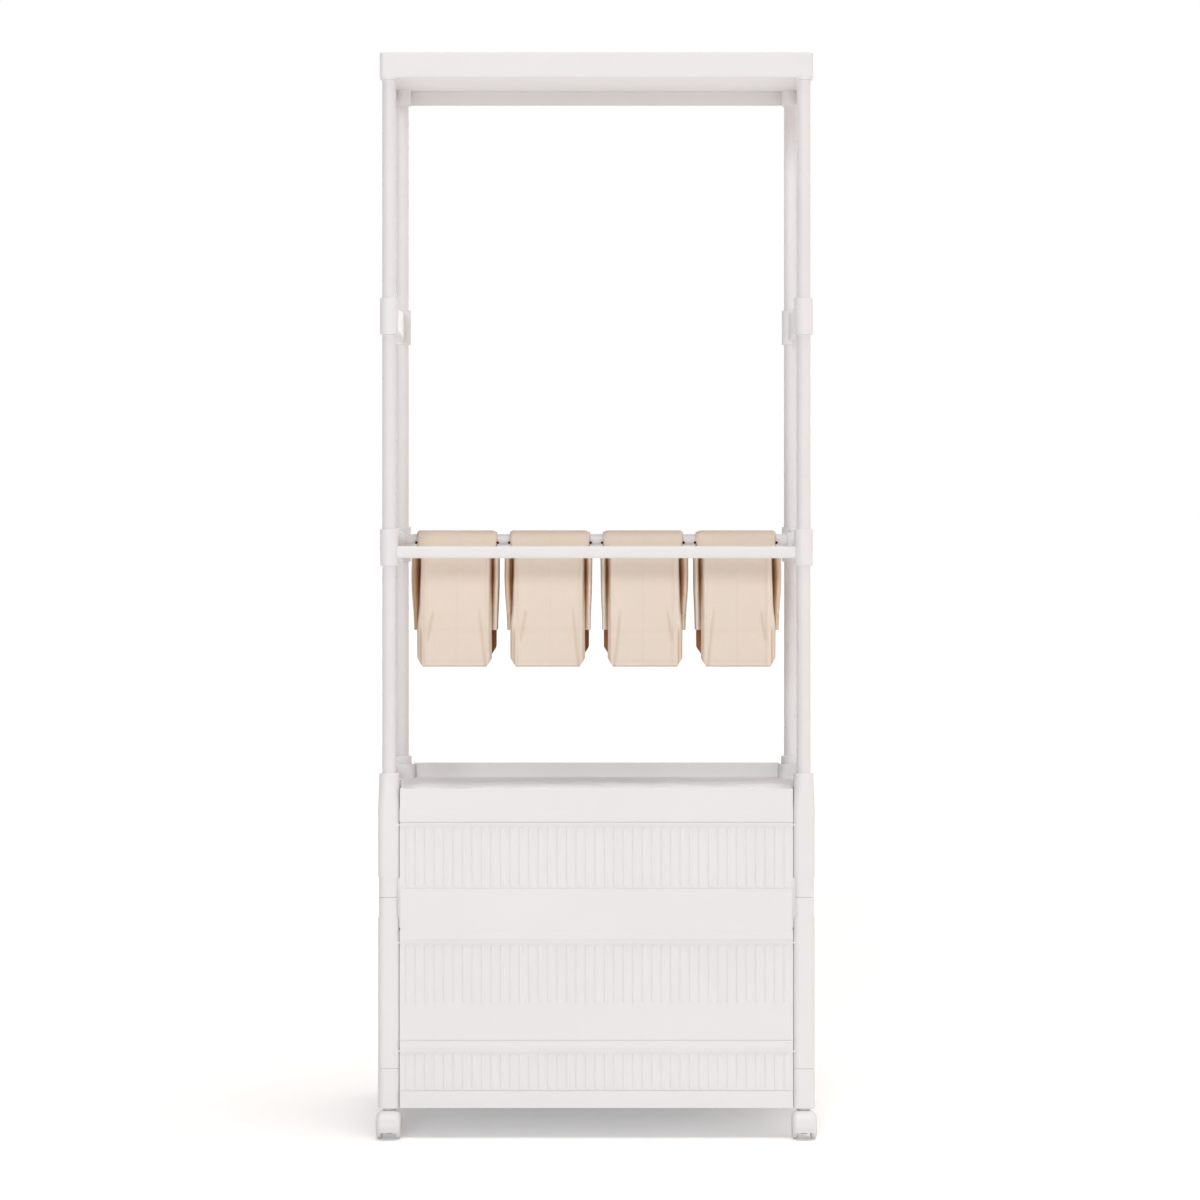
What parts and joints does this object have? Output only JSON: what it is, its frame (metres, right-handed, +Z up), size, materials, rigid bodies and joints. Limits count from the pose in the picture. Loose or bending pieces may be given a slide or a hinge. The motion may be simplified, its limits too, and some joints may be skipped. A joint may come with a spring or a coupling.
{
  "type": "plastic wardrobe stand",
  "caption": "Plastic clothes stand on casters with a top shelf, a bar with hanging cloth bags and a low cabinet of flip-up ribbed fronts under a tray.",
  "frame": {"origin": "on the floor under the middle of the stand", "axes": "+X to the right seen from the front, +Y to the back, +Z up"},
  "size_m": [0.689, 0.4342, 1.7],
  "materials": {
    "shell": "satin moulded plastic",
    "tube": "white powder coat",
    "caster": "satin moulded plastic",
    "cloth": "plain woven cloth"
  },
  "bodies": {
    "frame": {"post_foot_front_left": "shell", "post_lower_front_left": "shell", "post_upper_front_left": "shell", "post_foot_rear_left": "shell", "post_lower_rear_left": "shell", "post_upper_rear_left": "shell", "post_foot_front_right": "shell", "post_lower_front_right": "shell", "post_upper_front_right": "shell", "post_foot_rear_right": "shell", "post_lower_rear_right": "shell", "post_upper_rear_right": "shell", "base_frame": "shell", "low_shelf": "shell", "middle_shelf": "shell", "table_tray": "shell", "front_rail": "shell", "rear_rail": "shell", "top_shelf": "shell", "back_wall_upper": "shell", "back_wall_middle": "shell", "back_wall_lower": "shell", "side_wall_upper_left": "shell", "side_wall_upper_right": "shell", "side_wall_middle_left": "shell", "side_wall_middle_right": "shell", "side_wall_lower_left": "shell", "side_wall_lower_right": "shell", "side_brace_middle_left": "shell", "side_brace_middle_right": "shell", "side_brace_high_left": "shell", "side_brace_high_right": "shell", "upright_lower_front_left": "tube", "upright_middle_front_left": "tube", "upright_upper_front_left": "tube", "upright_lower_rear_left": "tube", "upright_middle_rear_left": "tube", "upright_upper_rear_left": "tube", "upright_lower_front_right": "tube", "upright_middle_front_right": "tube", "upright_upper_front_right": "tube", "upright_lower_rear_right": "tube", "upright_middle_rear_right": "tube", "upright_upper_rear_right": "tube", "bag_bar": "tube"},
    "upper_front": {"upper_front": "shell"},
    "middle_front": {"middle_front": "shell"},
    "lower_front": {"lower_front": "shell"},
    "bag_1": {"bag_1": "cloth"},
    "bag_2": {"bag_2": "cloth"},
    "bag_3": {"bag_3": "cloth"},
    "bag_4": {"bag_4": "cloth"},
    "caster_front_left": {"caster_hood_front_left": "caster"},
    "wheels_front_left": {"caster_wheels_front_left": "caster"},
    "caster_rear_left": {"caster_hood_rear_left": "caster"},
    "wheels_rear_left": {"caster_wheels_rear_left": "caster"},
    "caster_front_right": {"caster_hood_front_right": "caster"},
    "wheels_front_right": {"caster_wheels_front_right": "caster"},
    "caster_rear_right": {"caster_hood_rear_right": "caster"},
    "wheels_rear_right": {"caster_wheels_rear_right": "caster"}
  },
  "joints": [
    {"name": "upper_front_flip", "type": "hinge", "parent": "frame", "child": "upper_front", "pos_m": [0, -0.1919, 0.49], "axis": [-1, 0, 0], "range_deg": [0, 90]},
    {"name": "middle_front_flip", "type": "hinge", "parent": "frame", "child": "middle_front", "pos_m": [0, -0.1919, 0.306], "axis": [-1, 0, 0], "range_deg": [0, 90]},
    {"name": "lower_front_flip", "type": "hinge", "parent": "frame", "child": "lower_front", "pos_m": [0, -0.1919, 0.136], "axis": [-1, 0, 0], "range_deg": [0, 90]},
    {"name": "bag_1_sway", "type": "hinge", "parent": "frame", "child": "bag_1", "pos_m": [-0.2256, 0, 0.935], "axis": [1, 0, 0], "range_deg": [-10, 10]},
    {"name": "bag_2_sway", "type": "hinge", "parent": "frame", "child": "bag_2", "pos_m": [-0.0752, 0, 0.935], "axis": [1, 0, 0], "range_deg": [-10, 10]},
    {"name": "bag_3_sway", "type": "hinge", "parent": "frame", "child": "bag_3", "pos_m": [0.0752, 0, 0.935], "axis": [1, 0, 0], "range_deg": [-10, 10]},
    {"name": "bag_4_sway", "type": "hinge", "parent": "frame", "child": "bag_4", "pos_m": [0.2256, 0, 0.935], "axis": [1, 0, 0], "range_deg": [-10, 10]},
    {"name": "caster_swivel_front_left", "type": "hinge", "parent": "frame", "child": "caster_front_left", "pos_m": [-0.325, -0.18, 0.0466], "axis": [0, 0, 1], "continuous": true},
    {"name": "wheel_roll_front_left", "type": "hinge", "parent": "caster_front_left", "child": "wheels_front_left", "pos_m": [-0.325, -0.194, 0.02], "axis": [1, 0, 0], "continuous": true},
    {"name": "caster_swivel_rear_left", "type": "hinge", "parent": "frame", "child": "caster_rear_left", "pos_m": [-0.325, 0.18, 0.0466], "axis": [0, 0, 1], "continuous": true},
    {"name": "wheel_roll_rear_left", "type": "hinge", "parent": "caster_rear_left", "child": "wheels_rear_left", "pos_m": [-0.325, 0.194, 0.02], "axis": [1, 0, 0], "continuous": true},
    {"name": "caster_swivel_front_right", "type": "hinge", "parent": "frame", "child": "caster_front_right", "pos_m": [0.325, -0.18, 0.0466], "axis": [0, 0, 1], "continuous": true},
    {"name": "wheel_roll_front_right", "type": "hinge", "parent": "caster_front_right", "child": "wheels_front_right", "pos_m": [0.325, -0.194, 0.02], "axis": [1, 0, 0], "continuous": true},
    {"name": "caster_swivel_rear_right", "type": "hinge", "parent": "frame", "child": "caster_rear_right", "pos_m": [0.325, 0.18, 0.0466], "axis": [0, 0, 1], "continuous": true},
    {"name": "wheel_roll_rear_right", "type": "hinge", "parent": "caster_rear_right", "child": "wheels_rear_right", "pos_m": [0.325, 0.194, 0.02], "axis": [1, 0, 0], "continuous": true}
  ]
}
